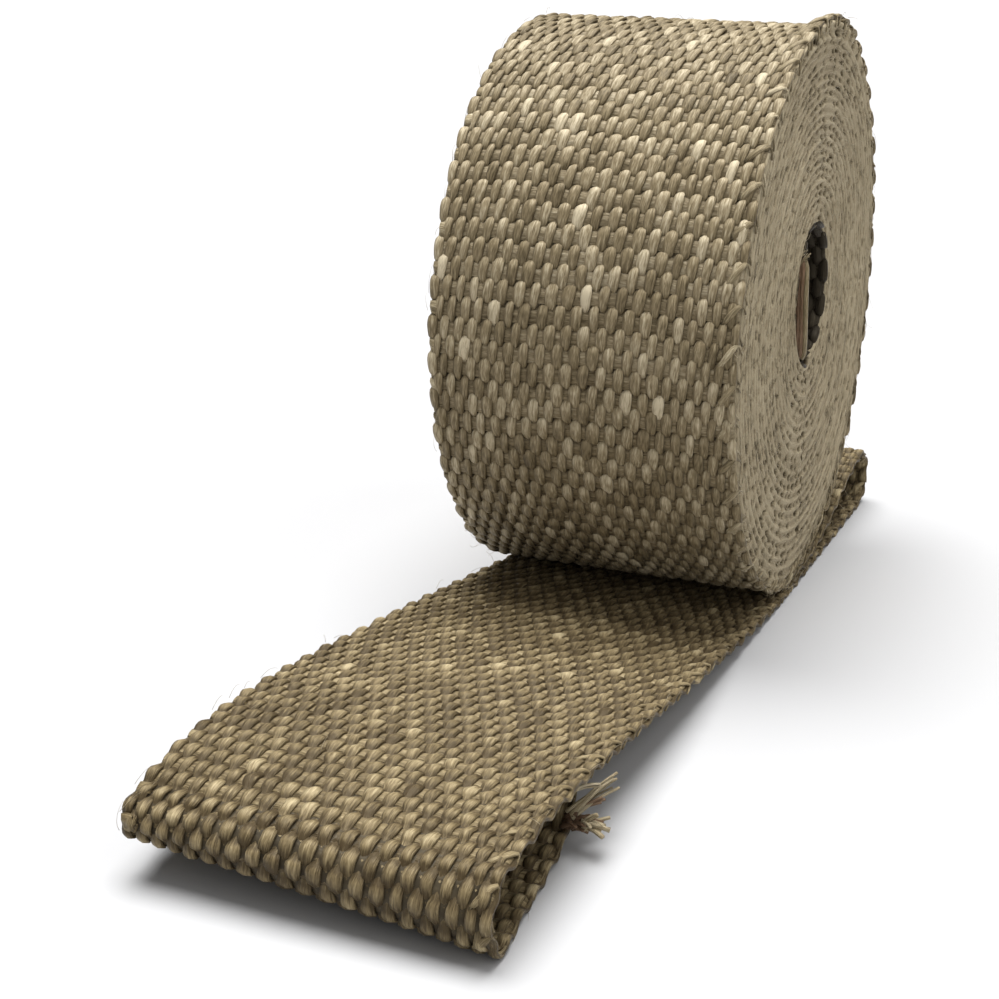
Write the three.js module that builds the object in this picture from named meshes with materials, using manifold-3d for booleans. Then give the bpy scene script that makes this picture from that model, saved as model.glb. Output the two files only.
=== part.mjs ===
// A part-used roll of woven exhaust heat wrap, standing on its own loose outer stretch.
//
// Units are millimetres, +Z is up. The origin is on the floor under the roll's axis, at the middle
// of the tape's width. +X runs along the roll's axis and -Y points at the folded free end.
//
// The wrap is one continuous band. Followed from its cut end, it lies under the front fold, turns
// up and over that fold, comes back down to the floor, runs under the roll to a second fold behind
// it, returns on top of itself and then becomes the outermost turn of the roll.
import * as THREE from "three";
import { mergeVertices } from "three/addons/utils/BufferGeometryUtils.js";
import Module from "manifold-3d";

// The band and its winding
const tapeWidth = 50;
const tapeThickness = 1.5;
const windingTurns = 24;
const boreRadius = 11.5;
const boreLift = 3.5; // the hollow sits this far above the middle of the roll
const turnGroove = 0.5; // depth of the groove between two turns, on both ends
const rollFacets = 36;

// How the roll bears on the band below it
const contactPress = 0.1; // how far the roll's weight presses the two layers together

// The front fold and the free end under it
const frontReach = 141; // from the roll's axis to the outside of the front fold
const frontFoldHeight = 11.6;
const flapLength = 37; // from the outside of the front fold back to the cut end
const flapCurl = 16; // the length at the cut end that has lifted off the floor
const flapLift = 2.4; // how far the cut end has lifted

// The arch of the top layer between the front fold and the roll
const archLandsAt = 6; // in front of the roll's axis
const archFrontPull = 20; // behind the fold, the first handle of the arch's curve
const archFrontRise = 5; // that handle's height above the fold's top layer
const archRollPull = 60; // in front of the landing, the second handle
const archRollRise = 5.5; // that handle's height above the floor layer

// The slack fold behind the roll
const rearReach = 57.4; // from the roll's axis to the outside of the rear fold
const rearFoldHeight = 11.6;
const rearFoldPull = 15.6; // how far the top layer runs level before it drops to the roll
const rearContactPull = 22; // how far it runs level before it meets the roll
const rearContactEnds = 4; // behind the roll's axis, where it lies flat on the layer below

// How finely curves are cut
const foldSteps = 10;
const archSteps = 16;

// Sizes that follow from those
const halfThickness = tapeThickness / 2;
const rollRadius = boreRadius + windingTurns * tapeThickness;
const rollBottom = tapeThickness - contactPress;
const rollCentreHeight = rollBottom + rollRadius;
const frontFoldRadius = frontFoldHeight / 2;
const rearFoldRadius = rearFoldHeight / 2;

const wasm = await Module();
wasm.setup();

// A three.js geometry as a manifold-3d solid, for the one join below.
function toSolid(geometry) {
  const bare = new THREE.BufferGeometry();
  bare.setAttribute("position", geometry.getAttribute("position"));
  if (geometry.index) bare.setIndex(geometry.index);
  const merged = mergeVertices(bare, 1e-4);
  return new wasm.Manifold(
    new wasm.Mesh({
      numProp: 3,
      vertProperties: merged.getAttribute("position").array,
      triVerts: new Uint32Array(merged.index.array),
    }),
  );
}

function toGeometry(solid) {
  const { vertProperties, triVerts } = solid.getMesh();
  const geometry = new THREE.BufferGeometry();
  geometry.setAttribute("position", new THREE.BufferAttribute(vertProperties, 3));
  geometry.setIndex(new THREE.BufferAttribute(triVerts, 1));
  geometry.computeVertexNormals();
  return geometry;
}

// One end of the winding from the bore outwards: a crest on each turn and a groove between turns.
function endProfile(side) {
  const points = [];
  for (let turn = 0; turn < windingTurns; turn++) {
    const inner = boreRadius + turn * tapeThickness;
    points.push(new THREE.Vector2(inner, side * (tapeWidth / 2 - turnGroove)));
    points.push(new THREE.Vector2(inner + halfThickness, (side * tapeWidth) / 2));
  }
  points.push(new THREE.Vector2(rollRadius, side * (tapeWidth / 2 - turnGroove)));
  return points;
}

// The winding is turned about the roll's axis, and its turns crowd upwards towards the hollow.
function woundRoll() {
  const profile = [...endProfile(-1), ...endProfile(1).reverse()];
  profile.push(profile[0].clone());
  const geometry = new THREE.LatheGeometry(profile, rollFacets);
  geometry.rotateZ(-Math.PI / 2);
  const position = geometry.getAttribute("position");
  for (let i = 0; i < position.count; i++) {
    const radius = Math.hypot(position.getY(i), position.getZ(i));
    const depth = (rollRadius - radius) / (rollRadius - boreRadius);
    position.setZ(i, position.getZ(i) + boreLift * depth);
  }
  geometry.translate(0, 0, rollCentreHeight);
  return geometry;
}

// The middle line of the loose stretch in the Y-Z plane, from the cut end to the roll.
function looseRoute() {
  const frontFoldCentre = new THREE.Vector2(-frontReach + frontFoldRadius, frontFoldRadius);
  const rearFoldCentre = new THREE.Vector2(rearReach - rearFoldRadius, rearFoldRadius);
  const cutEnd = -frontReach + flapLength;
  const route = new THREE.Path();
  route.moveTo(cutEnd, halfThickness + flapLift);
  route.quadraticCurveTo(cutEnd - flapCurl / 2, halfThickness, cutEnd - flapCurl, halfThickness);
  route.lineTo(frontFoldCentre.x, halfThickness);
  route.absarc(
    frontFoldCentre.x,
    frontFoldCentre.y,
    frontFoldRadius - halfThickness,
    -Math.PI / 2,
    Math.PI / 2,
    true,
  );
  route.bezierCurveTo(
    frontFoldCentre.x + archFrontPull,
    frontFoldHeight - halfThickness + archFrontRise,
    -archLandsAt - archRollPull,
    halfThickness + archRollRise,
    -archLandsAt,
    halfThickness,
  );
  route.lineTo(rearFoldCentre.x, halfThickness);
  route.absarc(
    rearFoldCentre.x,
    rearFoldCentre.y,
    rearFoldRadius - halfThickness,
    -Math.PI / 2,
    Math.PI / 2,
    false,
  );
  route.bezierCurveTo(
    rearFoldCentre.x - rearFoldPull,
    rearFoldHeight - halfThickness,
    rearContactEnds + rearContactPull,
    rollBottom + halfThickness,
    rearContactEnds,
    rollBottom + halfThickness,
  );
  route.lineTo(0, rollBottom + halfThickness);
  return route;
}

// The route's points, with straight stretches left as their two ends.
function routePoints(route) {
  const points = [];
  for (const curve of route.curves) {
    const steps = { LineCurve: 1, EllipseCurve: foldSteps }[curve.type] ?? archSteps;
    for (const point of curve.getPoints(steps)) {
      if (!points.length || points.at(-1).distanceTo(point) > 1e-6) points.push(point);
    }
  }
  return points;
}

// The band's section beside the route, drawn as one closed outline, then extruded to its width.
function looseStretch() {
  const middle = routePoints(looseRoute());
  const faces = [1, -1].map((side) =>
    middle.map((point, i) => {
      const before = middle[Math.max(i - 1, 0)];
      const after = middle[Math.min(i + 1, middle.length - 1)];
      const along = after.clone().sub(before).normalize();
      return new THREE.Vector2(
        point.x - side * halfThickness * along.y,
        point.y + side * halfThickness * along.x,
      );
    }),
  );
  const outline = new THREE.Shape([...faces[0], ...faces[1].reverse()]);
  const geometry = new THREE.ExtrudeGeometry(outline, { depth: tapeWidth, bevelEnabled: false });
  // The outline's x and y become the part's Y and Z, and the extrusion runs along X.
  geometry.applyMatrix4(
    new THREE.Matrix4().makeBasis(
      new THREE.Vector3(0, 1, 0),
      new THREE.Vector3(0, 0, 1),
      new THREE.Vector3(1, 0, 0),
    ),
  );
  geometry.translate(-tapeWidth / 2, 0, 0);
  return geometry;
}

const wovenBasalt = new THREE.MeshStandardMaterial({
  color: 0x96876a,
  roughness: 0.85,
  metalness: 0,
});

const band = toSolid(woundRoll()).add(toSolid(looseStretch()));
const tape = new THREE.Mesh(toGeometry(band), wovenBasalt);
tape.name = "heat_wrap_tape";

const part = new THREE.Group();
part.add(tape);

export default part;
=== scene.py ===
"""Looks of a part-used roll of woven exhaust heat wrap, standing on its loose outer stretch.

Sizes are in millimetres and become metres where a mesh is made. The band is followed from its cut
end: under the front fold, over the fold, along the floor under the roll, round the slack fold
behind it, back on top of itself and once round the roll. A place on the band is given by the
distance along that way, the distance across from the middle, and the height off the middle layer
towards the band's outer face.
"""

import math

import bpy
import numpy as np
from mathutils import Matrix, Vector


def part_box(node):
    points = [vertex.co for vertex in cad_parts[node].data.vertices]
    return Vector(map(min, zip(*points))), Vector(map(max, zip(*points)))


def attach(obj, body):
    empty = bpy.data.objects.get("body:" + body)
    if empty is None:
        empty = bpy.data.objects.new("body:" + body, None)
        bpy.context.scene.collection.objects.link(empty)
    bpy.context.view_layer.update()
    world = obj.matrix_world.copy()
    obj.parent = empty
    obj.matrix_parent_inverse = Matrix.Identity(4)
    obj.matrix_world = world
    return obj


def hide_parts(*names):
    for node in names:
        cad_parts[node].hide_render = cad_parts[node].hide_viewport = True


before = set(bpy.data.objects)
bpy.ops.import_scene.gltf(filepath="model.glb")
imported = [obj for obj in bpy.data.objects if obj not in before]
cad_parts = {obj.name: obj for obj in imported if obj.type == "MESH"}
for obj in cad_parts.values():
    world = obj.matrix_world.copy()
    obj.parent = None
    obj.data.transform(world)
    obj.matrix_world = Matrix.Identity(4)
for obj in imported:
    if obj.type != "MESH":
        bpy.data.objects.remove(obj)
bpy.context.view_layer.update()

MM = 0.001
TAPE = "heat_wrap_tape"

# The band, from the frame and from what such tape measures
tape_low, tape_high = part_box(TAPE)
TAPE_WIDTH = (tape_high[0] - tape_low[0]) / MM
FRONT_REACH = -tape_low[1] / MM
REAR_REACH = tape_high[1] / MM
ROLL_TOP = tape_high[2] / MM
TAPE_THICKNESS = 1.5
HALF = TAPE_THICKNESS / 2
EDGE = TAPE_WIDTH / 2

# The winding
WINDING_TURNS = 24
CONTACT_PRESS = 0.1  # how far the roll's weight presses it into the layer below
ROLL_BOTTOM = TAPE_THICKNESS - CONTACT_PRESS
ROLL_RADIUS = (ROLL_TOP - ROLL_BOTTOM) / 2
ROLL_CENTRE = ROLL_BOTTOM + ROLL_RADIUS
BORE_RADIUS = ROLL_RADIUS - WINDING_TURNS * TAPE_THICKNESS
BORE_LIFT = 3.5  # how far the hollow sits above the roll's middle
BORE_SHIFT = 1.2  # how far it sits towards the front
BORE_SQUEEZE = 0.12  # how much narrower than high it is
STEP_IN_FROM = math.radians(200)  # where each turn starts to step in under the one outside it
STEP_IN_OVER = math.radians(150)
TURN_ENDS_AT = math.radians(372)  # the yarns of the outermost turn end just past a full round

# The loose stretch, seen from the side
FOLD_HEIGHT = 11.6
FOLD_RADIUS = FOLD_HEIGHT / 2
FLAP_LENGTH = 37.0  # from the outside of the front fold back to the cut end
FLAP_CURL = 16.0  # the length at the cut end that has lifted off the floor
FLAP_LIFT = 2.4
ARCH_LANDS_AT = 6.0  # in front of the roll's axis
ARCH_FRONT_PULL = 20.0  # the arch's curve has a handle behind the fold, raised by the next value
ARCH_FRONT_RISE = 5.0
ARCH_ROLL_PULL = 60.0  # and a handle in front of its landing, raised in the same way
ARCH_ROLL_RISE = 5.5
REAR_FOLD_PULL = 15.6  # how far the rear fold's top runs level before it drops to the roll
REAR_CONTACT_PULL = 22.0  # how far it runs level before it meets the roll
REAR_CONTACT_ENDS = 4.0  # behind the roll's axis, where it lies flat on the layer below

# How the band hangs askew
LEFT_EDGE_LIFT = 1.3  # how far the left edge of the arch stands above its middle
FLAP_LEFT_LIFT = 4.2  # how far the left edge of the flap stands off the floor
FLAP_DRIFT = 3.0  # how far the cut end has slid to the left
FOLD_SKEW = 2.5  # how much further back the front fold's left end lies
FOLD_SKEW_FROM = -70.0  # the place along Y where the skew starts
FOLD_SKEW_OVER = 60.0
CUT_CORNER_LIFT = 3.0
CUT_CORNER_OVER = 5.0  # the length of band at the cut end over which its right corner lifts
EDGE_FLARE = 2.0  # how far the outermost turn's right edge stands off near the top
FLARE_AT = math.radians(198)
FLARE_SPAN = math.radians(65)  # how far to either side of that angle the edge is slack
FLARE_FROM = 20.0  # the distance across the band where the slack starts
FLARE_OVER = 5.0
LOWEST = 0.02  # nothing along the middle of a yarn lies below this height

# The weave
WARP_COUNT = 40
WARP_SPREAD = 0.13  # how much wider apart the warp yarns lie in the middle than on average
WARP_MARGIN = 0.7  # how far inside the band's edge the middle of a warp yarn stays
WARP_CREST = 0.47  # how far a warp yarn's middle rises over a weft yarn
WARP_LEAN = 0.11  # how far it drifts sideways between two crossings
WARP_ROLL = math.radians(9)  # its right side stands prouder than its left
WARP_PAINTED_SHADE = 0.3  # how much painted shade darkens it where it passes between other yarns
PICK_PITCH = 3.06
WEFT_CRIMP = 0.1
WEFT_HALF_WIDTH = 1.47
WEFT_HALF_HEIGHT = 0.34
WEFT_MARGIN = 0.9  # how far inside the band's edge the last crossing of a weft yarn stays
WEFT_END_MARGIN = 0.6  # and how far inside it the yarn ends

# One float, with its offsets in picks from the weft that it floats over
FLOAT_RINGS = 8
FLOAT_REACH = 0.7
FLOAT_HALF_WIDTH = 0.99
FLOAT_HALF_HEIGHT = 0.37
FLOAT_CREST_AT = 0.27
FLOAT_DROP = 0.4  # from the crest to where its tight end is back at the middle layer
FLOAT_CLIMB = 0.98  # the same towards its other end
FLOAT_TIP_FROM = 0.5  # where an end starts to narrow
FLOAT_TIP = 0.2  # the length over which it does

# One whole warp yarn
RINGS_A_PICK = 5
YARN_HALF_WIDTH = 0.96
YARN_HALF_HEIGHT = 0.4

# How many corners the section of each kind of strand has
FLOAT_CORNERS = 8
LINING_CORNERS = 6
WARP_CORNERS = 6
WEFT_CORNERS = 5
LOOP_CORNERS = 6
STRIP_CORNERS = 6
FRAY_CORNERS = 5
FIBRE_CORNERS = 3

# The seeds of draws that aren't given in a call
PICK_SEED = 5
INNER_END_SEED = 60
SWELL_SEED = 71
PIT_SEED = 80
FIBRE_SEED = 90

# How much single yarns vary
SIZE_VARIES = 0.09
DRIFT_VARIES = 0.09
PROUD_VARIES = 0.05
LEAN_VARIES = 0.35
ROLL_VARIES = 0.08
PICK_VARIES = 0.13


def rng(seed):
    return np.random.default_rng(seed)


def vary(random, size, count):
    """A column of random numbers about 0, one for each strand."""
    return random.normal(0, size, count)[:, None]


def smooth(x):
    """Rises from 0 to 1 while x does, and is level outside."""
    x = np.clip(x, 0, 1)
    return x * x * (3 - 2 * x)


def lerp(a, b, t):
    return tuple(x + (y - x) * t for x, y in zip(a, b))


# The way of the band in the plane across the roll's axis

LINE_STEPS = 40
CURVE_STEPS = 200
FOLD_STEPS = 80
TURN_STEPS = 900
SAME_PLACE = 1e-4  # points nearer than this are one


def straight(start, end):
    t = np.linspace(0, 1, LINE_STEPS)[:, None]
    return (1 - t) * np.array(start) + t * np.array(end)


def curved(p0, p1, p2, p3=None):
    """A smooth curve with two handles, or with one where the last point is left out."""
    if p3 is None:
        p0, p1, p2, p3 = p0, lerp(p0, p1, 2 / 3), lerp(p2, p1, 2 / 3), p2
    t = np.linspace(0, 1, CURVE_STEPS)[:, None]
    p0, p1, p2, p3 = (np.array(p, float) for p in (p0, p1, p2, p3))
    return (1 - t) ** 3 * p0 + 3 * (1 - t) ** 2 * t * p1 + 3 * (1 - t) * t**2 * p2 + t**3 * p3


def fold(y, start, end):
    """Half a round about a fold's middle at y, between two angles."""
    angle = np.linspace(start, end, FOLD_STEPS)
    radius = FOLD_RADIUS - HALF
    return np.c_[y + radius * np.cos(angle), FOLD_RADIUS + radius * np.sin(angle)]


def step_in(angle):
    """How much of a turn's thickness the winding has stepped in by at an angle."""
    return smooth((angle - STEP_IN_FROM) / STEP_IN_OVER)


def round_roll(radius, angle):
    """A point of the winding. The angle starts under the roll and grows towards its front."""
    depth = (ROLL_RADIUS - radius) / (ROLL_RADIUS - BORE_RADIUS)
    y = -radius * np.sin(angle) * (1 - BORE_SQUEEZE * depth**2) - BORE_SHIFT * depth
    z = ROLL_CENTRE - radius * np.cos(angle) + BORE_LIFT * depth
    return y, z


def turn_line():
    """The middle line of the outermost turn."""
    angle = np.linspace(0, TURN_ENDS_AT, TURN_STEPS)
    radius = ROLL_RADIUS - HALF - TAPE_THICKNESS * step_in(angle)
    return np.c_[-radius * np.sin(angle), ROLL_CENTRE - radius * np.cos(angle)]


FRONT_FOLD_Y = -FRONT_REACH + FOLD_RADIUS
REAR_FOLD_Y = REAR_REACH - FOLD_RADIUS
CUT_END_Y = -FRONT_REACH + FLAP_LENGTH
UPPER = ROLL_BOTTOM + HALF  # the middle of the layer that lies on the floor layer

STRETCHES = {
    "flap": np.vstack([
        curved(
            (CUT_END_Y, HALF + FLAP_LIFT),
            (CUT_END_Y - FLAP_CURL / 2, HALF),
            (CUT_END_Y - FLAP_CURL, HALF),
        ),
        straight((CUT_END_Y - FLAP_CURL, HALF), (FRONT_FOLD_Y, HALF)),
    ]),
    "front_fold": fold(FRONT_FOLD_Y, -math.pi / 2, -math.pi * 3 / 2),
    "arch": curved(
        (FRONT_FOLD_Y, FOLD_HEIGHT - HALF),
        (FRONT_FOLD_Y + ARCH_FRONT_PULL, FOLD_HEIGHT - HALF + ARCH_FRONT_RISE),
        (-ARCH_LANDS_AT - ARCH_ROLL_PULL, HALF + ARCH_ROLL_RISE),
        (-ARCH_LANDS_AT, HALF),
    ),
    "floor": straight((-ARCH_LANDS_AT, HALF), (REAR_FOLD_Y, HALF)),
    "rear_fold": fold(REAR_FOLD_Y, -math.pi / 2, math.pi / 2),
    "return": np.vstack([
        curved(
            (REAR_FOLD_Y, FOLD_HEIGHT - HALF),
            (REAR_FOLD_Y - REAR_FOLD_PULL, FOLD_HEIGHT - HALF),
            (REAR_CONTACT_ENDS + REAR_CONTACT_PULL, UPPER),
            (REAR_CONTACT_ENDS, UPPER),
        ),
        straight((REAR_CONTACT_ENDS, UPPER), (0, UPPER)),
    ]),
    "turn": turn_line(),
}


class Way:
    """The middle line of the band, read by the distance along it."""

    def __init__(self, stretches):
        points = []
        last_points = {}
        for name, stretch in stretches.items():
            for point in stretch:
                if not points or np.hypot(*(point - points[-1])) > SAME_PLACE:
                    points.append(point)
            last_points[name] = len(points) - 1
        self.points = np.array(points)
        steps = np.hypot(*np.diff(self.points, axis=0).T)
        self.along = np.r_[0, np.cumsum(steps)]
        self.ends = {name: self.along[i] for name, i in last_points.items()}
        tangent = np.gradient(self.points, self.along, axis=0)
        self.tangent = tangent / np.hypot(*tangent.T)[:, None]

    def place(self, along, across, height):
        """Points of the band, in millimetres."""
        y, z, tangent_y, tangent_z = (
            np.interp(along, self.along, column)
            for column in (*self.points.T, *self.tangent.T)
        )
        x = np.broadcast_to(across, y.shape)
        leftness = 0.5 - x / TAPE_WIDTH
        height = height + self.flare(along, x)
        skew = FOLD_SKEW * leftness * smooth((FOLD_SKEW_FROM - y) / FOLD_SKEW_OVER)
        y = y - height * tangent_z + skew
        z = z + height * tangent_y + self.arch_lift(along) * (2 * leftness - 1)
        z = z + FLAP_LEFT_LIFT * leftness * self.flap_share(along)
        z = z + CUT_CORNER_LIFT * smooth(1 - along / CUT_CORNER_OVER) * smooth(1 - 2 * leftness)
        x = x - FLAP_DRIFT * np.clip(1 - along / self.ends["flap"], 0, 2) ** 0.7
        return np.stack([x, y, np.maximum(z, LOWEST)], axis=-1)

    def flap_share(self, along):
        """1 on the flap, fading out over the front fold."""
        start, end = self.ends["flap"], self.ends["front_fold"]
        return 1 - smooth((along - start) / (end - start))

    def arch_lift(self, along):
        """How far the arch's left edge stands above its middle, and its right edge below."""
        share = (along - self.ends["front_fold"]) / (self.ends["arch"] - self.ends["front_fold"])
        return LEFT_EDGE_LIFT * np.sin(np.pi * np.clip(share, 0, 1)) ** 0.5

    def flare(self, along, across):
        """The outermost turn's right edge is slack over the top of the roll."""
        slack = EDGE_FLARE * flare_share(self.turned(along))
        return slack * smooth((across - FLARE_FROM) / FLARE_OVER)

    def turned(self, along):
        """The angle round the roll, from under it."""
        return (along - self.ends["return"]) / (ROLL_RADIUS - HALF)


def flare_share(angle):
    return smooth(1 - np.abs(angle - FLARE_AT) / FLARE_SPAN)


way = Way(STRETCHES)


# Meshes of many closed strands

FLATTENED = 0.05  # half the thickness of what the floor flattens
FACING_GAIN = 1.25  # how soon a strand's side counts as its upper or lower one, for its painted shade
PATTERN_GIRTH = 2.6  # how much of the fibre pattern goes once round a strand
PATTERN_STAGGER = 7.3  # how far apart along the pattern two neighbouring strands start


class Strands:
    """Closed strands of one kind, gathered into one mesh."""

    def __init__(self):
        self.points, self.loops, self.starts, self.uvs, self.tones = [], [], [], [], []
        self.point_count = 0
        self.loop_count = 0

    def add(
        self,
        centre,
        half_width,
        half_height,
        sides,
        tone,
        side=(1, 0, 0),
        roll=0.0,
        outward=1.0,
        shade=0.0,
    ):
        """centre is [strand, ring, xyz], and the other values follow it or are plain numbers.

        Painted shade: a strand is darker by shade wherever it doesn't face outward, which is 1
        where its upper side shows, -1 where its lower side does, and 0 where it passes between
        other yarns.
        """
        count, rings = centre.shape[:2]

        def spread(value):
            return np.broadcast_to(value, (count, rings))

        ahead = np.gradient(centre, axis=1)
        ahead /= np.linalg.norm(ahead, axis=-1, keepdims=True)
        side = np.broadcast_to(np.array(side, float), centre.shape)
        side = side - (side * ahead).sum(-1, keepdims=True) * ahead
        side /= np.linalg.norm(side, axis=-1, keepdims=True)
        up = np.cross(side, ahead)
        turn = spread(roll)[..., None]
        side, up = side * np.cos(turn) + up * np.sin(turn), up * np.cos(turn) - side * np.sin(turn)
        angle = 2 * np.pi * (np.arange(sides) + 0.5) / sides
        wide = (spread(half_width)[..., None] * np.cos(angle))[..., None]
        high = (spread(half_height)[..., None] * np.sin(angle))[..., None]
        points = centre[:, :, None] + wide * side[:, :, None] + high * up[:, :, None]
        # The floor flattens what would reach below it
        points[..., 2] = np.maximum(points[..., 2], FLATTENED * (1 + np.sin(angle)))
        # Painted shade: the sides that don't face outward are darkened by shade
        lit = np.clip(FACING_GAIN * spread(outward)[..., None] * np.sin(angle), 0, 1)
        self.skin(points, spread(tone)[..., None] - shade * (1 - lit))

    def skin(self, points, tone):
        """Closes a strand over its rings, given as [strand, ring, corner, xyz]."""
        count, rings, sides = points.shape[:3]
        index = self.point_count + np.arange(count * rings * sides).reshape(count, rings, sides)
        after = np.roll(index, -1, axis=2)
        quads = np.stack([index[:, :-1], index[:, 1:], after[:, 1:], after[:, :-1]], axis=-1)
        length = np.linalg.norm(np.diff(points.mean(axis=2), axis=1), axis=-1)
        run = np.concatenate([np.zeros((count, 1)), np.cumsum(length, axis=1)], axis=1)
        run = run + PATTERN_STAGGER * np.arange(count)[:, None]
        run = np.broadcast_to(run[..., None], (count, rings, sides))
        girth = np.broadcast_to(PATTERN_GIRTH * np.arange(sides) / sides, (count, rings, sides))
        next_girth = girth + PATTERN_GIRTH / sides
        uv = np.stack(
            [
                np.stack([girth[:, :-1], girth[:, 1:], next_girth[:, 1:], next_girth[:, :-1]], -1),
                np.stack([run[:, :-1], run[:, 1:], run[:, 1:], run[:, :-1]], -1),
            ],
            axis=-1,
        )
        self._faces(quads.reshape(-1, 4), uv.reshape(-1, 2))
        for ring in (index[:, 0], index[:, -1, ::-1]):
            self._faces(ring, np.zeros((ring.size, 2)))
        self.points.append(points.reshape(-1, 3))
        self.tones.append(np.broadcast_to(tone, (count, rings, sides)).ravel())
        self.point_count += count * rings * sides

    def _faces(self, faces, uv):
        self.loops.append(faces.ravel())
        self.starts.append(self.loop_count + faces.shape[1] * np.arange(len(faces)))
        self.uvs.append(uv)
        self.loop_count += faces.size

    def piece(self, name, material):
        parts = (self.points, self.loops, self.starts, self.uvs, self.tones)
        return cloth_piece(name, material, *(np.concatenate(part) for part in parts))


def cloth_piece(name, material, points, loops, starts, uvs, tone):
    """A piece of the tape, from the corners that each face loops over and where its loop starts."""
    mesh = bpy.data.meshes.new(name)
    mesh.vertices.add(len(points))
    mesh.vertices.foreach_set("co", (points * MM).astype(np.float32).ravel())
    mesh.loops.add(len(loops))
    mesh.loops.foreach_set("vertex_index", loops.astype(np.int32))
    mesh.polygons.add(len(starts))
    mesh.polygons.foreach_set("loop_start", starts.astype(np.int32))
    mesh.update(calc_edges=True)
    mesh.shade_smooth()
    layer = mesh.uv_layers.new(name="fibre")
    layer.data.foreach_set("uv", uvs.astype(np.float32).ravel())
    attribute = mesh.attributes.new("tone", "FLOAT", "POINT")
    attribute.data.foreach_set("value", tone.astype(np.float32))
    mesh.materials.append(material)
    piece = bpy.data.objects.new(name, mesh)
    bpy.context.scene.collection.objects.link(piece)
    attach(piece, "root")
    return piece


# Materials

class Value:
    """A number at a socket, so that sums on it add their Math nodes."""

    def __init__(self, finish, socket):
        self.finish, self.socket = finish, socket

    def math(self, operation, *others, **settings):
        inputs = dict(enumerate((self, *others)))
        return self.finish.value("ShaderNodeMath", inputs, operation=operation, **settings)

    def __add__(self, other):
        return self.math("ADD", other)

    __radd__ = __add__

    def __mul__(self, other):
        return self.math("MULTIPLY", other)

    __rmul__ = __mul__

    def __sub__(self, other):
        return self.math("SUBTRACT", other)

    def __rsub__(self, other):
        return self * -1 + other

    def clamped(self):
        return self.math("ADD", 0.0, use_clamp=True)


# Fine glassy filaments have a dull, warm gloss
SILK = {
    "Sheen Weight": 0.03,
    "Sheen Roughness": 0.45,
    "Sheen Tint": (1.0, 0.9, 0.75, 1.0),
    "Specular IOR Level": 0.3,
    "Specular Tint": (1.0, 0.86, 0.62, 1.0),
}


class Finish:
    """A material being made from nodes."""

    def __init__(self, name):
        self.material = bpy.data.materials.new(name)
        self.material.use_nodes = True
        self.tree = self.material.node_tree
        self.tree.nodes.clear()

    def node(self, kind, inputs=(), stops=(), **settings):
        node = self.tree.nodes.new(kind)
        for key, setting in settings.items():
            setattr(node, key, setting)
        if stops:
            ramp = node.color_ramp
            while len(ramp.elements) < len(stops):
                ramp.elements.new(0.5)
            for element, (position, colour) in zip(ramp.elements, stops):
                element.position = position
                element.color = (*colour, 1)
        for key, value in dict(inputs).items():
            if isinstance(value, Value):
                self.tree.links.new(value.socket, node.inputs[key])
            elif isinstance(value, bpy.types.NodeSocket):
                self.tree.links.new(value, node.inputs[key])
            else:
                node.inputs[key].default_value = value
        return node

    def value(self, kind, inputs=(), output=0, **settings):
        return Value(self, self.node(kind, inputs, **settings).outputs[output])

    def attribute(self, name):
        return self.value("ShaderNodeAttribute", output="Fac", attribute_name=name)

    def noise(self, vector, stretch, detail=3.0):
        stretched = self.node(
            "ShaderNodeVectorMath", {0: vector, 1: stretch}, operation="MULTIPLY"
        ).outputs[0]
        return self.value(
            "ShaderNodeTexNoise", {"Vector": stretched, "Scale": 1.0, "Detail": detail}
        )

    def ramp(self, value, stops):
        return self.node("ShaderNodeValToRGB", {"Fac": value}, stops=stops).outputs[0]

    def close(self, colour, roughness, height, depth):
        """Ends a fibre material whose relief is depth millimetres deep."""
        bump = self.node(
            "ShaderNodeBump", {"Height": height, "Distance": depth * MM, "Strength": 1.0}
        ).outputs[0]
        return self.surface(
            {"Base Color": colour, "Roughness": roughness, "Normal": bump, **SILK}
        )

    def surface(self, inputs):
        shader = self.node("ShaderNodeBsdfPrincipled", inputs)
        self.node("ShaderNodeOutputMaterial", {"Surface": shader.outputs[0]})
        return self.material


# The scale of each noise. A yarn's pattern runs round the yarn, then along it. The felt's runs
# round the roll, then from turn to turn. Patches lie in the object's own space, in metres.
YARN_LINES = (5.5, 0.35, 1.0)
YARN_FINE_LINES = (15.0, 0.9, 1.0)
YARN_PATCHES = (90.0, 90.0, 90.0)
FELT_MATTING = (0.9, 4.2, 1.0)
FELT_FINE_MATTING = (2.6, 12.0, 1.0)
FELT_PATCHES = (110.0, 110.0, 110.0)


def yarn_finish(name, dark, middle, light):
    """Multifilament yarn: fine lines along it, and a tone of its own for each float, which also
    carries painted shade and painted highlights.
    """
    finish = Finish(name)
    uv = finish.node("ShaderNodeUVMap", uv_map="fibre").outputs[0]
    place = finish.node("ShaderNodeTexCoord").outputs["Object"]
    lines = finish.noise(uv, YARN_LINES)
    fine = finish.noise(uv, YARN_FINE_LINES, detail=2.0)
    patch = finish.noise(place, YARN_PATCHES, detail=2.0)
    tone = finish.attribute("tone")
    shade = (tone - 0.5) * 0.75 + (lines - 0.5) * 0.95 + (fine - 0.5) * 0.8
    shade = (shade + (patch - 0.5) * 0.35 + 0.5).clamped()
    colour = finish.ramp(shade, [(0.12, dark), (0.5, middle), (0.9, light)])
    roughness = 0.5 - (lines - 0.5) * 0.3
    return finish.close(colour, roughness, lines * 0.7 + fine * 0.6, depth=0.2)


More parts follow.
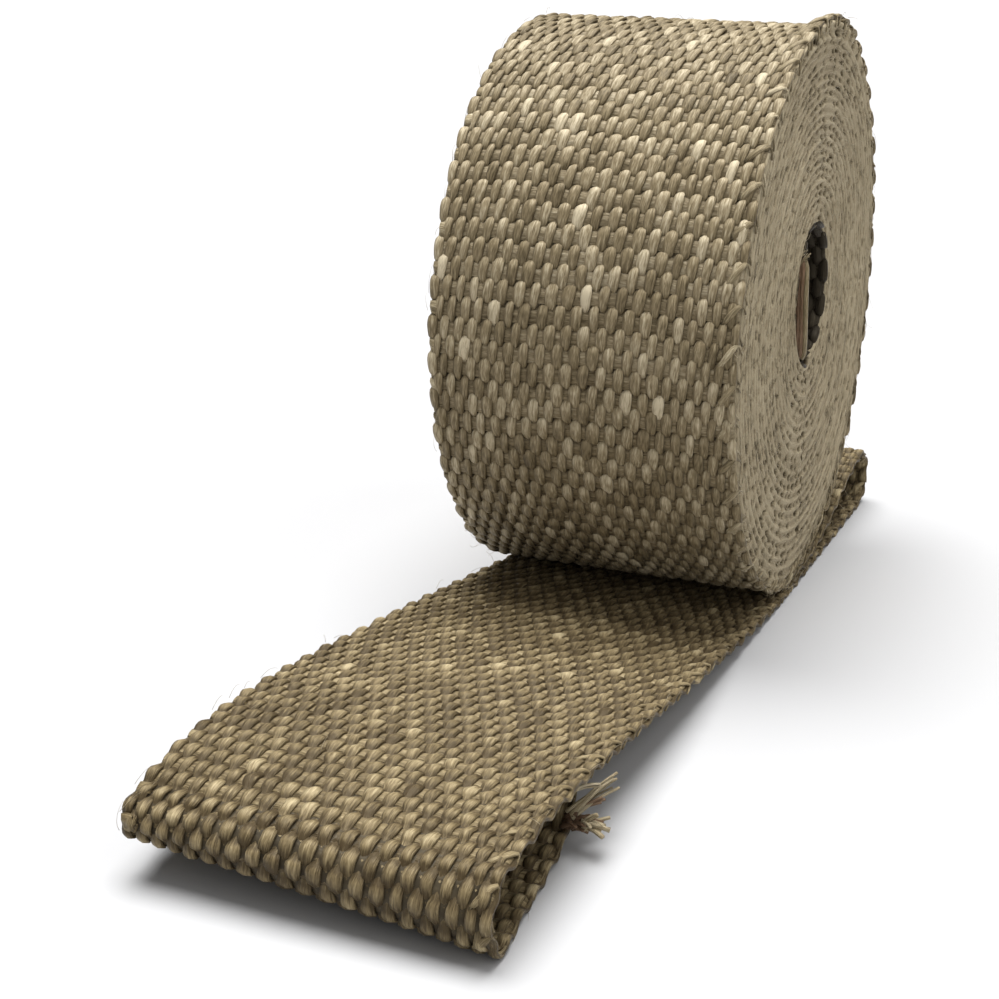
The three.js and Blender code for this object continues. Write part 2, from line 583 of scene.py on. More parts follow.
def felt_finish(name, dark, middle, light):
    """Selvedges pressed side by side: matted fibres along the turns, with painted shade in the
    pits.
    """
    finish = Finish(name)
    uv = finish.node("ShaderNodeUVMap", uv_map="fibre").outputs[0]
    place = finish.node("ShaderNodeTexCoord").outputs["Object"]
    matted = finish.noise(uv, FELT_MATTING, detail=4.0)
    fine = finish.noise(uv, FELT_FINE_MATTING, detail=2.0)
    patch = finish.noise(place, FELT_PATCHES, detail=3.0)
    tone = finish.attribute("tone")
    shade = tone * 0.9 + (matted - 0.5) * 0.7 + (fine - 0.5) * 0.6 + (patch - 0.5) * 0.4
    colour = finish.ramp(shade.clamped(), [(0.05, dark), (0.5, middle), (0.95, light)])
    roughness = 0.9 - (matted - 0.5) * 0.1
    return finish.close(colour, roughness, matted * 0.8 + fine * 0.4, depth=0.25)


# The dark, middle and light colour of each
WARP_YARN = yarn_finish(
    "warp_yarn", (0.065, 0.048, 0.024), (0.235, 0.185, 0.108), (0.58, 0.50, 0.35)
)
WEFT_YARN = yarn_finish(
    "weft_yarn", (0.065, 0.049, 0.026), (0.22, 0.175, 0.105), (0.43, 0.37, 0.26)
)
EDGE_YARN = yarn_finish(
    "selvedge_yarn", (0.07, 0.053, 0.028), (0.26, 0.208, 0.122), (0.56, 0.48, 0.33)
)
# The same yarn as on the roll, in darker colours: painted shade for the loose stretch
SHADED_LOOSE_YARN = yarn_finish(
    "shaded_loose_yarn", (0.055, 0.038, 0.018), (0.192, 0.146, 0.076), (0.44, 0.36, 0.215)
)
STRAY_FIBRE = yarn_finish(
    "stray_fibre", (0.30, 0.24, 0.145), (0.46, 0.385, 0.255), (0.64, 0.55, 0.40)
)
# Near black: painted shade inside the weave and inside the hollow
PAINTED_SHADE_CLOTH = yarn_finish(
    "painted_shade_cloth", (0.018, 0.014, 0.009), (0.045, 0.035, 0.021), (0.09, 0.07, 0.042)
)
FELT = felt_finish(
    "pressed_selvedges", (0.04, 0.029, 0.016), (0.31, 0.255, 0.163), (0.48, 0.41, 0.285)
)
BROWN_END = yarn_finish(
    "inner_end", (0.06, 0.032, 0.018), (0.17, 0.105, 0.064), (0.36, 0.25, 0.165)
)


# The weave

PICK_SHIFTS = rng(PICK_SEED).normal(0, PICK_VARIES, 400)  # one for each pick, and some to spare
FIRST_TURN_PICK = int(way.ends["return"] / PICK_PITCH)
LAST_PICK = int(way.along[-1] / PICK_PITCH) - 1
MIDDLE_PICK = (FIRST_TURN_PICK + LAST_PICK) // 2
LOOSE_SPLIT = int(way.ends["arch"] / PICK_PITCH)
LOOSE_PICKS = range(0, FIRST_TURN_PICK)
TURN_PICKS = range(FIRST_TURN_PICK, LAST_PICK + 1)


def warp_middle(column):
    """Where a warp yarn lies across the band: the yarns crowd a little towards both edges."""
    share = 2 * (column + 0.5) / WARP_COUNT - 1
    return EDGE * (share + WARP_SPREAD * np.sin(np.pi * share) / np.pi)


def warp_room(column):
    """The room that a warp yarn has there, over the room it has on average."""
    return 1 + WARP_SPREAD * np.cos(np.pi * (2 * (column + 0.5) / WARP_COUNT - 1))


def float_shape(offset):
    """Half width, half height and rise of a float, at an offset from the weft below it.

    Its crest lies near the end that the winding pulled tight, which it drops off steeply.
    """
    near = np.abs(offset)
    tip = np.clip((near - FLOAT_TIP_FROM) / FLOAT_TIP, 0, 1)
    taper = 0.2 * np.clip((0.15 - offset) / 0.7, 0, 1) ** 1.4
    tight_taper = 0.1 * np.clip(offset / 0.5, 0, 1) ** 3
    half_width = (FLOAT_HALF_WIDTH - taper - tight_taper) * (1 - 0.5 * tip)
    half_height = (FLOAT_HALF_HEIGHT - 0.05 * (near / 0.5) ** 2) * (1 - 0.4 * tip)
    reach = np.where(
        offset > FLOAT_CREST_AT,
        (offset - FLOAT_CREST_AT) / FLOAT_DROP,
        (FLOAT_CREST_AT - offset) / FLOAT_CLIMB,
    )
    return half_width, half_height, WARP_CREST * (1 - reach**2.1)


def yarn_tone(random, shape, spread=0.11, glint_share=0.05):
    """Most yarns are alike, and a few are painted lighter, as painted glints where they catch the
    light.
    """
    tone = random.normal(0.5, spread, shape)
    # painted glints
    tone = tone + np.where(random.uniform(size=shape) < glint_share, 0.35, 0)
    return np.clip(tone, 0, 1)


def pick_skew(across, pick):
    """Weft yarns aren't quite straight across, nor evenly beaten up."""
    shift = PICK_SHIFTS[np.asarray(pick, int) % PICK_SHIFTS.size]
    wave = 0.25 * np.sin(across / 9.0 + 0.11 * pick) + 0.18 * np.sin(across / 4.1 - 0.3 * pick)
    return shift + wave


def floats(put, picks, seed, sides, shift=0.0):
    """Each warp yarn's floats on one face: the closed shapes that stand over every other weft."""
    random = rng(seed)
    offsets = np.linspace(-FLOAT_REACH, FLOAT_REACH, FLOAT_RINGS)
    half_width, half_height, rise = float_shape(offsets)
    cells = [(c, p) for c in range(WARP_COUNT) for p in picks if (c + p) % 2 == 0]
    column, pick = (np.array(v) for v in zip(*cells))
    middle = warp_middle(column)
    count = len(cells)
    size = random.normal(1, SIZE_VARIES, count)[:, None] * warp_room(column)[:, None]
    drift = vary(random, DRIFT_VARIES, count)
    proud = vary(random, PROUD_VARIES, count)
    lean = random.normal(1, LEAN_VARIES, count)[:, None]
    across = middle[:, None] + drift + lean * WARP_LEAN * np.sin(np.pi * offsets)
    across = np.clip(across, -EDGE + WARP_MARGIN, EDGE - WARP_MARGIN)
    along = (pick[:, None] + offsets) * PICK_PITCH + pick_skew(middle, pick)[:, None]
    # Painted shade darkens both ends, and a painted highlight lightens the steep one just before it
    # darkens
    tone = yarn_tone(random, count)[:, None] - 0.2 * np.clip(np.abs(offsets) - 0.35, 0, 1)
    tone = tone + 0.14 * np.exp(-(((offsets - 0.42) / 0.16) ** 2))
    strands = Strands()
    strands.add(
        put(along, across, rise + proud),
        half_width * size,
        half_height,
        sides,
        tone + shift,
        roll=WARP_ROLL + vary(random, ROLL_VARIES, count),
        shade=WARP_PAINTED_SHADE,
    )
    return strands


def whole_warp(random, column, pick):
    """A warp yarn's middle, half width, half height, tone, roll and facing at the given picks."""
    nearest = np.round(pick - column % 2).astype(int)
    offset = pick - column % 2 - nearest
    crossing = nearest - nearest.min()
    half_width = (YARN_HALF_WIDTH - 0.2 * (np.abs(offset) / 0.5) ** 2.4) * warp_room(column)
    half_height = YARN_HALF_HEIGHT - 0.06 * (offset / 0.5) ** 2
    rise = WARP_CREST * np.cos(np.pi * offset)
    face = 1 - 2 * (nearest % 2)
    size, drift, proud = random.normal(0, 1, (3, crossing.max() + 1))[:, crossing]
    tone = yarn_tone(random, crossing.max() + 1)[crossing]
    blend = np.cos(np.pi * offset) ** 2
    middle = warp_middle(column)
    lean = 0.6 * face * WARP_LEAN * np.sin(np.pi * offset)
    across = middle + DRIFT_VARIES * drift * blend + lean
    across = np.clip(across, -EDGE + WARP_MARGIN, EDGE - WARP_MARGIN)
    along = pick * PICK_PITCH + pick_skew(middle, nearest + column % 2) * blend
    return (
        way.place(along, across, face * (rise + PROUD_VARIES * proud * blend)),
        half_width * (1 + 0.1 * size * blend),
        half_height,
        # painted shade: darker where the yarn passes between the two faces
        tone - 0.25 * (1 - blend),
        0.5 * face * WARP_ROLL * blend,
        face * blend,
    )


def warps(start, end, seed):
    """Whole warp yarns, seen from both faces, between two picks."""
    random = rng(seed)
    rings = np.arange(start * RINGS_A_PICK, end * RINGS_A_PICK + 1) / RINGS_A_PICK
    yarns = []
    for column in range(WARP_COUNT):
        pick = rings.copy()
        if start == 0:
            pick[0] -= random.uniform(0.1, 0.9)  # the cut end is ragged
        yarns.append(whole_warp(random, column, pick))
    centre, half_width, half_height, tone, roll, face = (np.array(v) for v in zip(*yarns))
    strands = Strands()
    strands.add(
        centre,
        half_width,
        half_height,
        WARP_CORNERS,
        tone,
        roll=roll,
        outward=face,
        shade=WARP_PAINTED_SHADE,
    )
    return strands


def wefts(put, picks, seed, shift=0.0, sunk=0.0):
    """Weft yarns straight across the band, raised where a warp yarn passes beneath."""
    random = rng(seed)
    picks = np.array(picks)
    columns = np.arange(-1, WARP_COUNT + 1)
    across = np.clip(warp_middle(columns), -EDGE + WEFT_MARGIN, EDGE - WEFT_MARGIN)
    across[[0, -1]] = -EDGE + WEFT_END_MARGIN, EDGE - WEFT_END_MARGIN
    parity = (columns + picks[:, None]) % 2
    height = WEFT_CRIMP * (2 * parity - 1) - sunk
    along = picks[:, None] * PICK_PITCH + pick_skew(across, picks[:, None])
    tone = yarn_tone(random, (len(picks), 1)) + shift + 0 * across
    lengthwise = put(along + 0.5, across, height) - put(along - 0.5, across, height)
    strands = Strands()
    strands.add(
        put(along, across, height),
        WEFT_HALF_WIDTH,
        WEFT_HALF_HEIGHT,
        WEFT_CORNERS,
        tone,
        side=-lengthwise,
    )
    return strands


# The loops of weft round an edge, as across from LOOP_BASE, along from the pick, height off the
# middle layer, and half width. The outermost warp yarn floats over every other pick, so two shapes
# take turns. Those of the right edge slant, as the weft is pulled tight there.
LOOP_BASE = EDGE - 0.25
RIGHT_WIDE_LOOP = np.array([
    (-2.9, -1.5, 0.30, 0.34),
    (-2.2, -0.8, 0.60, 0.52),
    (-1.3, 0.3, 0.76, 0.58),
    (-0.6, 1.15, 0.70, 0.52),
    (-0.1, 1.6, 0.40, 0.34),
    (0.15, 1.45, -0.10, 0.21),
    (0.28, 0.9, -0.70, 0.17),
    (0.25, 0.3, -1.40, 0.14),
])
RIGHT_NARROW_LOOP = np.array([
    (-1.0, 0.9, 0.15, 0.26),
    (-0.5, 0.75, 0.30, 0.34),
    (-0.05, 0.35, 0.18, 0.30),
    (0.12, -0.2, -0.15, 0.20),
    (0.25, -0.8, -0.65, 0.16),
    (0.22, -1.3, -1.20, 0.12),
])
LEFT_WIDE_LOOP = np.array([
    (-2.1, -0.10, 0.24, 1.02),
    (-1.3, -0.05, 0.40, 1.12),
    (-0.6, 0.05, 0.42, 1.06),
    (-0.1, 0.15, 0.16, 0.86),
    (0.12, 0.20, -0.35, 0.62),
    (0.15, 0.15, -0.95, 0.36),
])
LEFT_NARROW_LOOP = np.array([
    (-1.2, 0.5, 0.10, 0.40),
    (-0.6, 0.45, 0.22, 0.52),
    (-0.1, 0.4, 0.02, 0.46),
    (0.10, 0.3, -0.45, 0.32),
    (0.12, 0.1, -1.00, 0.20),
])
# Each with its side of the band, the warp column it goes round, and which picks have it
EDGE_LOOPS = (
    (-1, 0, LEFT_WIDE_LOOP, 1),
    (-1, 0, LEFT_NARROW_LOOP, 0),
    (1, WARP_COUNT - 1, RIGHT_WIDE_LOOP, 1),
    (1, WARP_COUNT - 1, RIGHT_NARROW_LOOP, 0),
)
LOOP_LIES_FLAT = 0.3  # above this height a loop lies on the band, and below it on the edge
# painted shade on the sides of an edge loop that don't face outward
LOOP_PAINTED_SHADE = 0.25


def selvedges(picks, seed, depth, reach=1.0, proud=1.0):
    """One loop of weft for each pick and edge, leaning over the edge and down it.

    How far it goes down, stands out and rises is multiplied by depth, reach and proud.
    """
    random = rng(seed)
    strands = Strands()
    for edge, last_column, loop, kind in EDGE_LOOPS:
        own = np.array([p for p in picks if (p + last_column) % 2 == kind])
        count = len(own)
        beyond, ahead, lift, wide = loop.T
        beyond = np.where(beyond > 0, reach * beyond, beyond)
        beyond = beyond * (1 + vary(random, 0.08, count))
        across = edge * (LOOP_BASE + beyond + vary(random, 0.08, count))
        along = own[:, None] * PICK_PITCH + ahead * (1 + vary(random, 0.12, count))
        along = along + vary(random, 0.14, count)
        along = along + pick_skew(across[:, 0], own)[:, None]
        height = lift * (1 + vary(random, 0.06, count))
        height = np.where(height < 0, depth * height, proud * height)
        tone = yarn_tone(random, count, spread=0.12, glint_share=0.1)[:, None] + 0 * lift
        centre = way.place(along, across, height)
        outward = way.place(along, across, height + 1) - centre
        outward = np.where((lift > LOOP_LIES_FLAT)[:, None], outward, [edge, 0.0, 0.0])
        strands.add(
            centre,
            wide * (1 + vary(random, 0.1, count)),
            0.13 + 0.22 * np.minimum(wide, 0.6),
            LOOP_CORNERS,
            tone,
            side=np.cross(np.gradient(centre, axis=1), outward),
            shade=LOOP_PAINTED_SHADE,
        )
    return strands


def outer_turn():
    """The outermost turn: floats on its outer face only, since the next turn covers the inner."""
    for name, first, last in (
        ("front", FIRST_TURN_PICK, MIDDLE_PICK),
        ("rear", MIDDLE_PICK, LAST_PICK + 1),
    ):
        turn = floats(way.place, range(first, last), seed=first, sides=FLOAT_CORNERS)
        turn.piece(f"outer_turn_warps_{name}", WARP_YARN)
    wefts(way.place, TURN_PICKS, seed=33, shift=-0.06).piece("outer_turn_wefts", WEFT_YARN)
    selvedges(TURN_PICKS, seed=34, depth=1.0).piece("outer_turn_selvedges", EDGE_YARN)


LAYER_HALF_THICKNESS = 0.14
LAYER_STARTS_AT = 0.6  # from the cut end
LAYER_STEP = 1.0
LAYER_TONE = 0.4
NOSE_FADE = 9.0  # the length of band over which the wefts come up again beside the nose


def middle_layer():
    """A thin layer along the middle of the loose stretch that closes its weave's gaps with painted
    shade.
    """
    across = (EDGE - WARP_MARGIN) * np.array([1, 0.5, 0, -0.5, -1, -1, -0.5, 0, 0.5, 1])
    height = LAYER_HALF_THICKNESS * np.array([1, 1, 1, 1, 1, -1, -1, -1, -1, -1])
    along = np.arange(LAYER_STARTS_AT, way.ends["return"], LAYER_STEP)[None, :, None]
    layer = Strands()
    layer.skin(way.place(*np.broadcast_arrays(along, across, height)), LAYER_TONE)
    return layer.piece("loose_cloth", PAINTED_SHADE_CLOTH)


def loose_stretch():
    """The loose stretch, whose yarns are seen from both faces."""
    for name, first, last in (
        ("front", 0, LOOSE_SPLIT),
        ("rear", LOOSE_SPLIT, FIRST_TURN_PICK),
    ):
        stretch = warps(first, last, seed=100 + first)
        stretch.piece(f"loose_warps_{name}", SHADED_LOOSE_YARN)
    # Round the nose of the front fold the wefts lie deeper between the warps, and painted shade
    # darkens them there
    picks = np.array(LOOSE_PICKS)
    nose = (way.ends["flap"] + way.ends["front_fold"]) / 2
    deep = smooth(1.4 - np.abs(picks * PICK_PITCH - nose) / NOSE_FADE)[:, None]
    crossing = wefts(way.place, picks, seed=31, shift=-0.1 - 0.4 * deep, sunk=0.3 * deep)
    crossing.piece("loose_wefts", SHADED_LOOSE_YARN)
    edges = selvedges(LOOSE_PICKS, seed=32, depth=0.45, reach=0.2, proud=0.7)
    edges.piece("loose_selvedges", SHADED_LOOSE_YARN)
    piece = middle_layer()


# The winding

RINGS_A_TURN = 5
ANGLE_STEPS = 720
FACE = EDGE - 0.35  # how far out the pressed ends stand, before their relief
CROWN = 0.22  # how far each turn stands proud of the grooves beside it
SWELL = 0.12  # how much that varies round a turn
SWELL_WAVES = 4
RIM = 0.5  # how many turns the rounding of an edge takes up
RIM_DROP = 0.9  # how far in along the roll's axis the rounding of the outer edge goes
RIM_INSET = 0.95  # and how far in towards the axis
INNER_RIM_DROP = 0.5  # the same two for the hollow's edge
INNER_RIM_INSET = 0.7
SHOULDER = 6.0  # the outer wall has corners this far in from the band's edge
WALL_TONE = 0.3
WALL_PATTERN = ((50.0,), (70.0,), (90.0,))  # where the walls lie on the felt's pattern
PIT_CELLS = 140  # how many pits are drawn for a turn before they repeat
PIT_STAGGER = 3.7  # how far apart the pits of neighbouring turns start, in picks
PIT_HALF_WIDTH = 0.52
PIT_DEPTH = 1.05


def pits(turn, angle, seed):
    """How deep the pressed selvedges are pitted, from 0 to 1, at a turn count and an angle."""
    random = rng(seed)
    shift, slide, deep, length = random.uniform(0, 1, (4, WINDING_TURNS + 3, PIT_CELLS))
    depth = np.zeros(turn.shape)
    for between in range(WINDING_TURNS + 1):
        radius = ROLL_RADIUS - between * TAPE_THICKNESS
        run = radius * angle / PICK_PITCH + PIT_STAGGER * between
        cell = np.floor(run).astype(int) % PIT_CELLS
        centre = 0.5 + 0.6 * (shift[between, cell] - 0.5)
        aside = 0.5 * (slide[between, cell] - 0.5)
        half_length = 0.6 + 0.9 * length[between, cell]
        ahead = (run - np.floor(run) - centre) * PICK_PITCH / half_length
        across = (turn - between - aside) * TAPE_THICKNESS / PIT_HALF_WIDTH
        bowl = smooth(1.6 * (1 - ahead**2 - across**2))
        depth += bowl * np.clip(1.9 * deep[between, cell] - 0.2, 0, 1)
    return np.clip(depth, 0, 1)


def pressed_end(side, turns, angles):
    """One end of the winding: how far out it stands, its radius, its slack and its tone."""
    rim = np.clip(1 - turns / RIM, 0, 1)
    inner_rim = np.clip(1 - (WINDING_TURNS - turns) / RIM, 0, 1)
    slack = EDGE_FLARE * flare_share(angles) * np.clip(1.25 - turns, 0, 1) * (side > 0)
    pitted = pits(turns, angles, PIT_SEED + side)
    waves = rng(SWELL_SEED + side).normal(0, 1, (WINDING_TURNS + 2, SWELL_WAVES))
    waves = waves[np.floor(turns + 1e-6).astype(int)]
    swell = sum(
        waves[..., k] * np.cos((k + 1) * angles + 2.1 * k) / (k + 1.5) for k in range(SWELL_WAVES)
    )
    crown = np.sin(np.pi * (turns % 1)) ** 2
    out = FACE + CROWN * crown + SWELL * swell * crown - PIT_DEPTH * pitted
    out = out - RIM_DROP * rim - INNER_RIM_DROP * inner_rim
    # A gap opens under the slack edge
    out = out - 0.35 * slack * np.exp(-(((turns - 1.1) / 0.3) ** 2))
    radius = ROLL_RADIUS - TAPE_THICKNESS * (turns + step_in(angles))
    radius = radius - RIM_INSET * rim + INNER_RIM_INSET * inner_rim
    # Painted shade: darker in the pits and in the grooves between the turns' crowns. The rounded
    # rims are darker too.
    tone = 0.6 + 0.05 * swell + 0.14 * crown - 1.1 * pitted - 0.3 * rim
    return out, radius, slack, tone


def winding(side, name):
    """One half of the wound turns, as a closed body from the middle of the band to one end.

    It is swept once round from under the roll, while each turn steps in by one. So the sweep
    ends one turn further in than it starts, and a cap closes each end of it.
    """
    turn = np.linspace(0, WINDING_TURNS, WINDING_TURNS * RINGS_A_TURN + 1)
    angle = np.linspace(0, 2 * np.pi, ANGLE_STEPS + 1)
    turns, angles = np.meshgrid(turn, angle, indexing="ij")
    out, radius, slack, tone = pressed_end(side, turns, angles)
    end = np.stack([side * out, *round_roll(radius + slack, angles)], axis=-1)
    # From the end's inner edge back through the hollow's wall, the middle and the outer wall
    hollow = end[-1] * [0, 1, 1]
    outer = np.stack([0 * angle, *round_roll(radius[0], angle)], axis=-1)
    shoulder = outer + [side * (EDGE - SHOULDER), 0, 0]
    points = np.concatenate([end, hollow[None], outer[None], shoulder[None]])
    tone = np.concatenate([tone, np.full((3, angle.size), WALL_TONE)])
    rows, columns = points.shape[:2]
    index = np.arange(rows * columns).reshape(rows, columns)
    below = np.roll(index, -1, axis=0)
    quads = np.stack([index[:, :-1], index[:, 1:], below[:, 1:], below[:, :-1]], axis=-1)
    quads = quads.reshape(-1, 4)
    caps = np.stack([index[::-1, 0], index[:, -1]])
    if side > 0:
        quads, caps = quads[:, ::-1], caps[:, ::-1]
    arc = np.concatenate([radius * angles, np.tile(ROLL_RADIUS * angle, (3, 1))])
    across = np.concatenate([turns * TAPE_THICKNESS, np.array(WALL_PATTERN) + 0 * angle])
    loops = np.concatenate([quads.ravel(), caps.ravel()])
    starts = np.r_[4 * np.arange(len(quads)), quads.size, quads.size + rows]
    uvs = np.stack([arc, across], axis=-1).reshape(-1, 2)[loops]
    piece = cloth_piece(name, FELT, points.reshape(-1, 3), loops, starts, uvs, tone.ravel())
    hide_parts(TAPE)


def bore_place(along, across, height):
    """The band's innermost turn, with its heights towards the hollow."""
    angle = along / BORE_RADIUS
    radius = BORE_RADIUS - TAPE_THICKNESS * step_in(angle % (2 * np.pi)) + HALF - height
    y, z = round_roll(radius, angle)
    return np.stack([np.broadcast_to(across, y.shape), y, z], axis=-1)


def bore_lining():
    """The weave of the innermost turn, on the side that faces the hollow, in dark painted shade."""
    picks = range(0, int(2 * np.pi * BORE_RADIUS / PICK_PITCH))
    # Painted shade: the lining is darkened by its shifts and its near-black cloth
    lining = floats(bore_place, picks, seed=41, sides=LINING_CORNERS, shift=-0.45)
    lining.piece("bore_warps", PAINTED_SHADE_CLOTH)
    wefts(bore_place, picks, seed=42, shift=-0.5).piece("bore_wefts", PAINTED_SHADE_CLOTH)


# Loose yarns and filaments

RIGHT_FIBRES = 1700
LEFT_FIBRES = 1100
FIBRE_RADIUS = 0.045
HAIRS = 150
HAIR_RADIUS = 0.035


def matted_fibres(strands, random):
    """Fine broken filaments, matted over both ends of the roll."""
    t = np.linspace(0, 1, 4)
    for side, count in ((1, RIGHT_FIBRES), (-1, LEFT_FIBRES)):
        radius = np.sqrt(random.uniform((BORE_RADIUS + 0.5) ** 2, (ROLL_RADIUS - 0.3) ** 2, count))
        angle = random.uniform(0, 2 * np.pi, count)
        length = random.uniform(1.5, 5.0, count)
        slant = random.normal(0, 0.35, count)
        bend = vary(random, 1.0, count)
        off = random.uniform(-0.1, 0.35, count)[:, None]
        turned = angle[:, None] + (length * np.cos(slant) / radius)[:, None] * t
        out = radius[:, None] + (length * np.sin(slant))[:, None] * t + bend * t * (t - 1)
        out = np.clip(out, BORE_RADIUS + 0.3, ROLL_RADIUS + 0.4)
        x = side * (FACE + 0.1 + off * np.sin(np.pi * t))
        thick = FIBRE_RADIUS * (1 - 0.5 * t)
        centre = np.stack([x, *round_roll(out, turned)], axis=-1)
        tone = random.uniform(0.2, 0.9, count)[:, None]
        strands.add(centre, thick, thick, FIBRE_CORNERS, tone)


def standing_hairs(strands, random):
    """Hairs that stand off the band's face and edges."""
    t = np.linspace(0, 1, 6)
    start = random.uniform(20, way.along[-1] - 40, HAIRS)
    at_edge = random.uniform(size=HAIRS) < 0.6
    either_edge = np.sign(random.normal(size=HAIRS)) * EDGE
    across = np.where(at_edge, either_edge, random.uniform(-EDGE, EDGE, HAIRS))
    length = random.uniform(1.5, 5, HAIRS)
    slant = random.uniform(-1.4, 1.4, HAIRS)
    rise = random.uniform(0.1, 1.1, HAIRS)
    along = start[:, None] + (length * np.cos(slant))[:, None] * t
    across = across[:, None] + (length * 0.5 * np.sin(slant))[:, None] * t
    across = np.clip(across, -EDGE - 1.2, EDGE + 1.2)
    height = HALF + rise[:, None] * np.sin(0.8 * np.pi * t)
    thick = HAIR_RADIUS * (1 - 0.5 * t)
    tone = random.uniform(0.3, 1, HAIRS)[:, None]
    strands.add(way.place(along, across, height), thick, thick, FIBRE_CORNERS, tone)


def stray_fibres():
    random = rng(FIBRE_SEED)
    strands = Strands()
    matted_fibres(strands, random)
    standing_hairs(strands, random)
    strands.piece("stray_fibres", STRAY_FIBRE)


def sheaf(strands, start, end, count, spread, thick, rise, seed, tone):
    """Fine yarns side by side from one place to another, arching up by rise on the way."""
    random = rng(seed)
    t = np.linspace(0, 1, 7)
    begin = np.array(start) + random.normal(0, spread * 0.5, (count, 3))
    finish = np.array(end) + random.normal(0, spread, (count, 3))
    centre = begin[:, None] + (finish - begin)[:, None] * t[:, None]
    centre[..., 2] += rise * np.sin(np.pi * t) * random.uniform(0.6, 1.4, count)[:, None]
    width = thick * (1 - 0.3 * t) * random.uniform(0.7, 1.3, count)[:, None]
    strands.add(centre, width, width * 0.7, FRAY_CORNERS, tone + vary(random, 0.1, count))


INNER_END_FROM = 36  # degrees round the hollow from below it, towards the front
INNER_END_TO = 128
INNER_END_FRAYS_AT = 116
INNER_END_STRIPS = 6
STRIP_PITCH = 0.64
STRIP_HALF_WIDTH = 0.44
STRIP_HALF_HEIGHT = 0.4


def inner_end():
    """The band's inner end, which stands proud of the roll's right end at the front of the bore."""
    random = rng(INNER_END_SEED)
    strands, edges = Strands(), Strands()
    for strip in range(INNER_END_STRIPS):
        start = math.radians(INNER_END_FROM + random.uniform(-4, 4))
        end = math.radians(INNER_END_TO + random.uniform(-7, 7))
        angle = np.linspace(start, end, 16)[None]
        out = np.clip(np.sin(np.pi * (angle - start) / (end - start)), 0, 1) ** 0.5
        radius = BORE_RADIUS + 0.15 + 0.12 * np.sin(5 * angle + strip)
        x = EDGE - 3.0 + STRIP_PITCH * strip + 1.1 * out
        centre = np.stack([x, *round_roll(radius, angle)], axis=-1)
        kind = edges if strip == INNER_END_STRIPS - 1 else strands
        tone = random.uniform(0.35, 0.65)
        kind.add(centre, STRIP_HALF_WIDTH, STRIP_HALF_HEIGHT, STRIP_CORNERS, tone)
    y, z = round_roll(BORE_RADIUS, math.radians(INNER_END_FRAYS_AT))
    sheaf(
        edges,
        start=(EDGE - 1.2, y, z),
        end=(EDGE + 0.3, y + 1.5, z + 3.2),
        count=9,
        spread=0.5,
        thick=0.16,
        rise=0.5,
        seed=61,
        tone=0.6,
    )
    strands.piece("inner_end", BROWN_END)
    edges.piece("inner_end_edges", EDGE_YARN)


# The sheaves at the cut end, with the values that sheaf asks for
PALE_FRAYS = (
    ((21.0, -111.0, 6.8), (25.5, -106.0, 8.6), 5, 0.25, 0.26, 0.9, 95, 0.75),
    ((22.5, -108.5, 4.9), (25.9, -102.5, 7.9), 9, 0.55, 0.28, 0.4, 96, 0.6),
    ((24.6, -108.2, 3.8), (27.0, -108.4, 4.2), 16, 0.7, 0.45, 0.2, 97, 0.6),
)
BROWN_FRAYS = (
    ((22.0, -107.8, 3.2), (25.2, -108.0, 3.9), 24, 0.9, 0.5, 0.3, 98, 0.3),
    ((22.4, -107.0, 4.6), (25.5, -105.0, 6.3), 5, 0.35, 0.26, 0.2, 99, 0.5),
)


def frayed_end():
    """Loose yarns at the right of the cut end, behind the front fold."""
    for name, frays, material in (
        ("frayed_yarns", PALE_FRAYS, EDGE_YARN),
        ("frayed_brown_yarns", BROWN_FRAYS, BROWN_END),
    ):
        strands = Strands()
        for fray in frays:
            sheaf(strands, *fray)
        strands.piece(name, material)


outer_turn()
loose_stretch()
winding(1, "wound_turns_right")
winding(-1, "wound_turns_left")
bore_lining()
inner_end()
frayed_end()
stray_fibres()


# Floor, light and camera

FLOOR_SIZE = 80  # metres
FLOOR_COLOUR = (0.45, 0.45, 0.455, 1)
FLOOR_ROUGHNESS = 0.9
WORLD_COLOUR = (1, 1, 1, 1)
WORLD_STRENGTH = 0.05

# Each lamp's direction, how many degrees wide its disk is, and its strength
LAMPS = {
    "overhead": ((-0.12, 0.16, 1.0), 50, 6.3),
    "right": ((0.8, 0.0, 0.7), 50, 0.9),
    "front": ((0.25, -0.95, 0.62), 70, 0.85),
}
LAMP_DISTANCE = 2  # metres, though these lamps shine alike from any distance

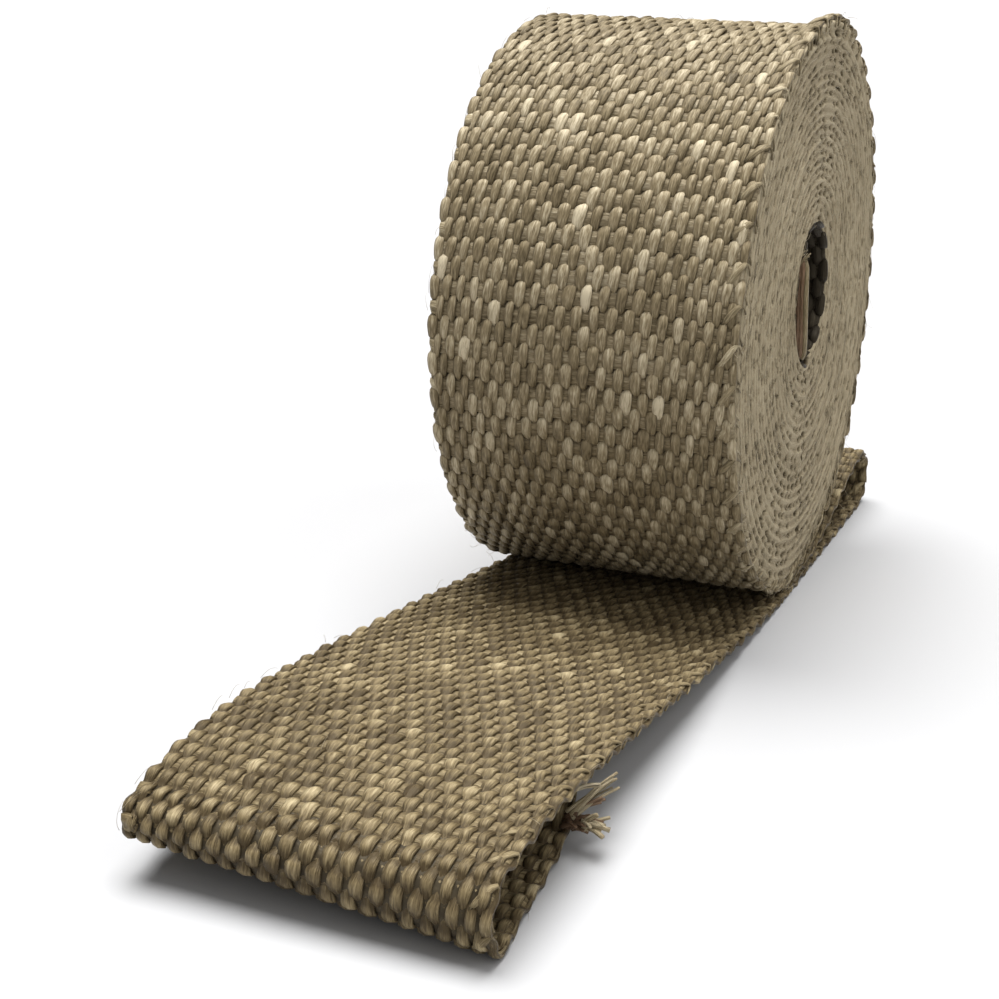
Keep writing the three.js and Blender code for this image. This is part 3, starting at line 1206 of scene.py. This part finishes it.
# The photograph's viewpoint, in millimetres and degrees
CAMERA_PLACE = (97.8, -320.4, 117.6)
CAMERA_YAW = 21.99
CAMERA_PITCH = 17.5
CAMERA_ROLL = 0.84
CAMERA_FOCUS = 1956.5 / 999  # focal length over picture width
SENSOR_WIDTH = 36
NEAREST_SEEN = 0.01  # metres


def floor():
    bpy.ops.mesh.primitive_plane_add(size=FLOOR_SIZE, location=(0, 0, 0))
    plane = bpy.context.object
    plane.name = "floor"
    finish = Finish("pale_floor")
    plane.data.materials.append(
        finish.surface({"Base Color": FLOOR_COLOUR, "Roughness": FLOOR_ROUGHNESS})
    )


def lamp(name, towards, width, strength):
    light = bpy.data.lights.new(name, "SUN")
    light.angle = math.radians(width)
    light.energy = strength
    thing = bpy.data.objects.new(name, light)
    bpy.context.scene.collection.objects.link(thing)
    thing.location = [LAMP_DISTANCE * c for c in towards]
    thing.rotation_euler = Vector(towards).to_track_quat("Z", "Y").to_euler()


def studio():
    world = bpy.data.worlds.new("studio")
    bpy.context.scene.world = world
    world.use_nodes = True
    background = world.node_tree.nodes["Background"]
    background.inputs["Color"].default_value = WORLD_COLOUR
    background.inputs["Strength"].default_value = WORLD_STRENGTH
    for name, (towards, width, strength) in LAMPS.items():
        lamp(name, towards, width, strength)
    bpy.context.scene.view_settings.view_transform = "Standard"


def camera():
    data = bpy.data.cameras.new("camera")
    data.sensor_width = SENSOR_WIDTH
    data.lens = SENSOR_WIDTH * CAMERA_FOCUS
    data.clip_start = NEAREST_SEEN
    thing = bpy.data.objects.new("camera", data)
    bpy.context.scene.collection.objects.link(thing)
    yaw, pitch, roll = (math.radians(a) for a in (CAMERA_YAW, CAMERA_PITCH, CAMERA_ROLL))
    turn = (
        Matrix.Rotation(yaw, 4, "Z")
        @ Matrix.Rotation(math.pi / 2 - pitch, 4, "X")
        @ Matrix.Rotation(roll, 4, "Z")
    )
    thing.matrix_world = Matrix.Translation([c * MM for c in CAMERA_PLACE]) @ turn
    bpy.context.scene.camera = thing


floor()
studio()
camera()
